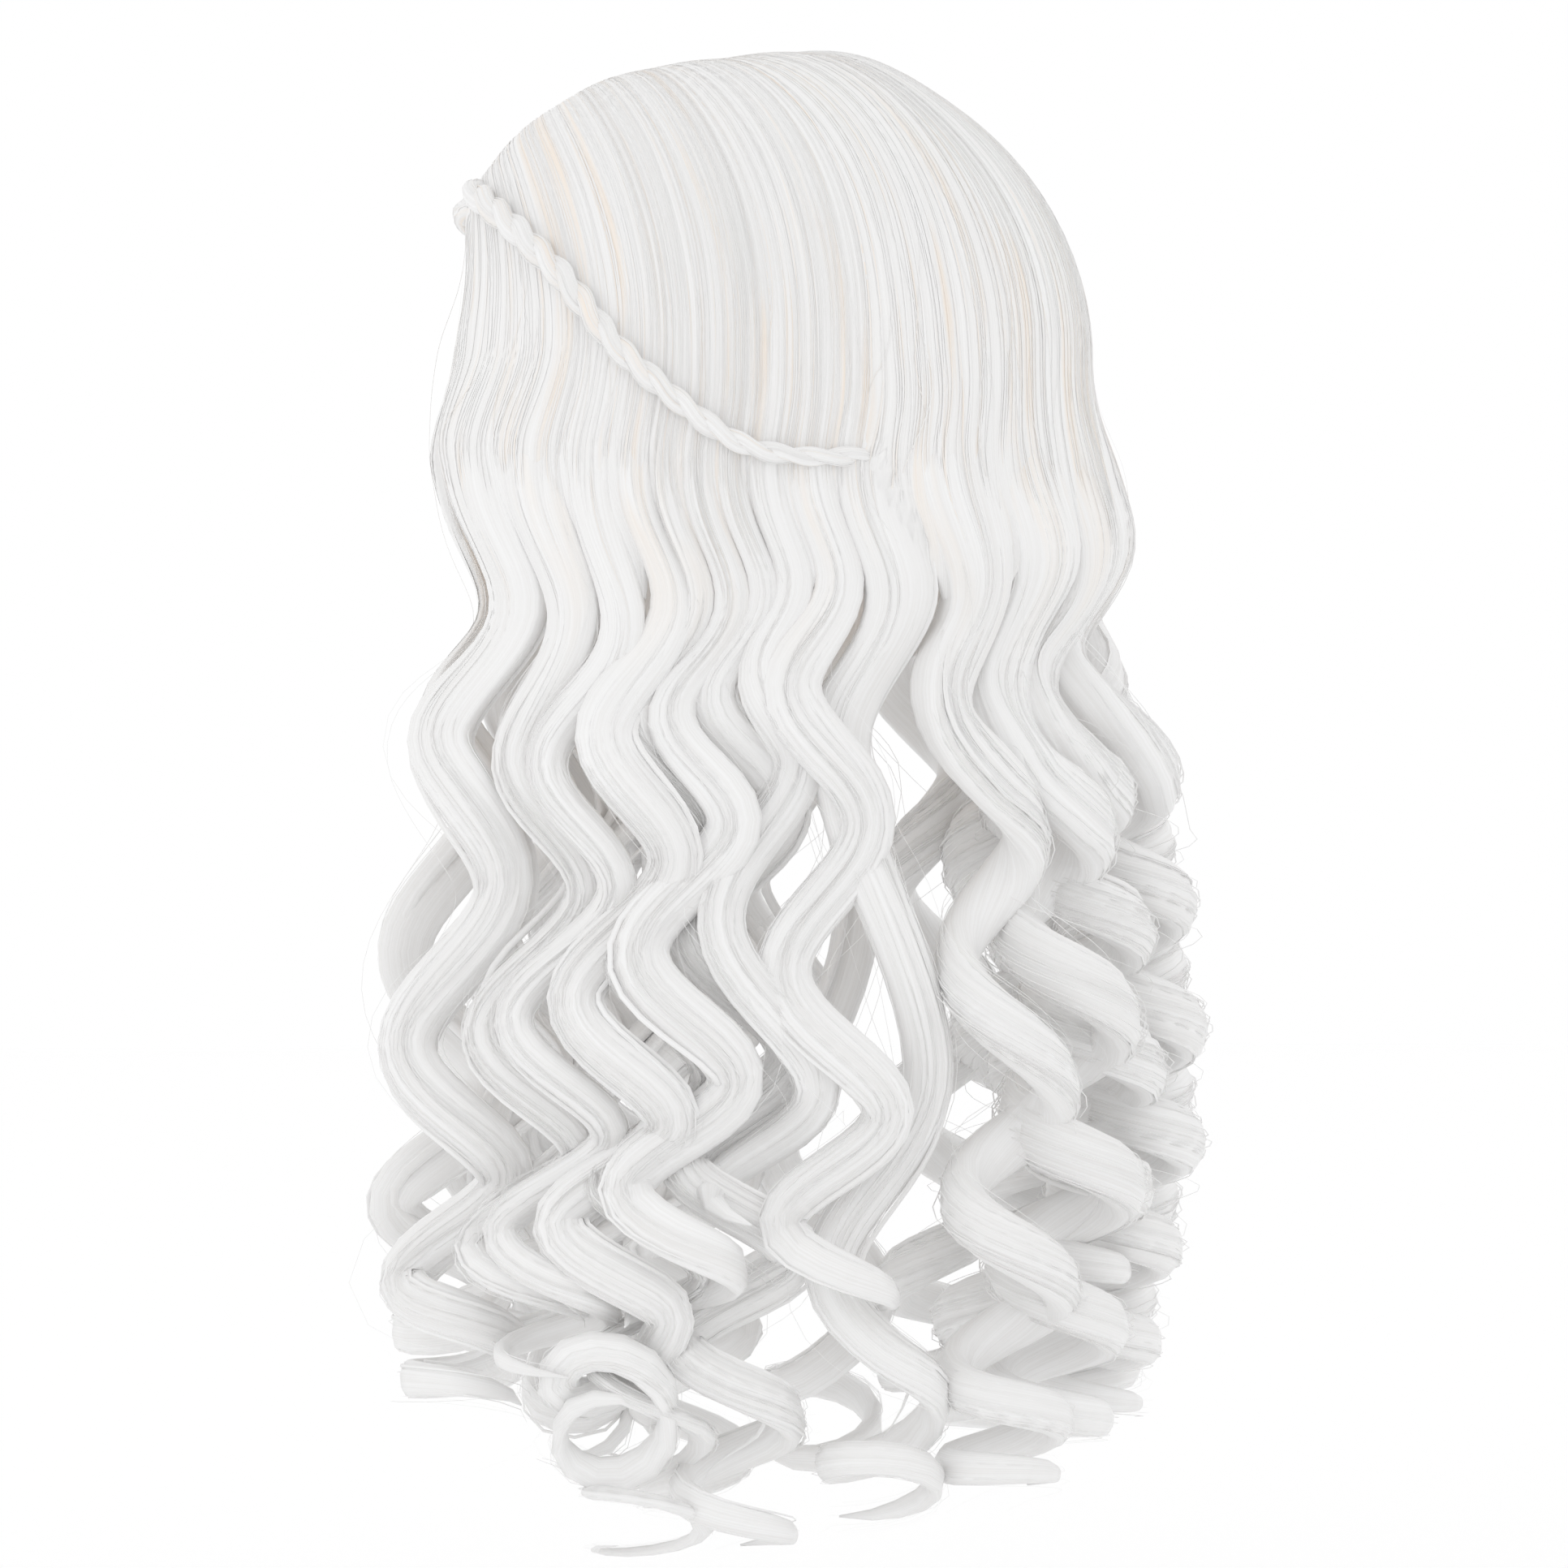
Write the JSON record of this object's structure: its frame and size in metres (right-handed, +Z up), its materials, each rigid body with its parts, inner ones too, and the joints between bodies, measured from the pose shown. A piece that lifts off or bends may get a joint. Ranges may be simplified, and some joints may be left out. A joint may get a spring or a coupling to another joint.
{
  "type": "long curly costume wig",
  "caption": "Long curly synthetic costume wig: a stretch cap with tresses of white hair combed from a centre parting and a thin twist at each side, falling in loose spiral curls.",
  "frame": {"origin": "inside top of the cap, where the wig sits on the crown of a head", "axes": "+Z up, the face opening towards -Y, the wearer's left towards +X"},
  "size_m": [0.2949, 0.3018, 0.5453],
  "materials": {
    "hair": "satin white synthetic fibre",
    "cap_net": "matt beige stretch net"
  },
  "bodies": {
    "root": {"wig_cap": "cap_net", "front_tress_left": "hair", "front_tress_right": "hair", "side_tress_left": "hair", "side_tress_right": "hair", "back_tress_left": "hair", "back_tress_right": "hair", "middle_tress": "hair", "side_twist_left": "hair", "side_twist_right": "hair"}
  },
  "joints": []
}
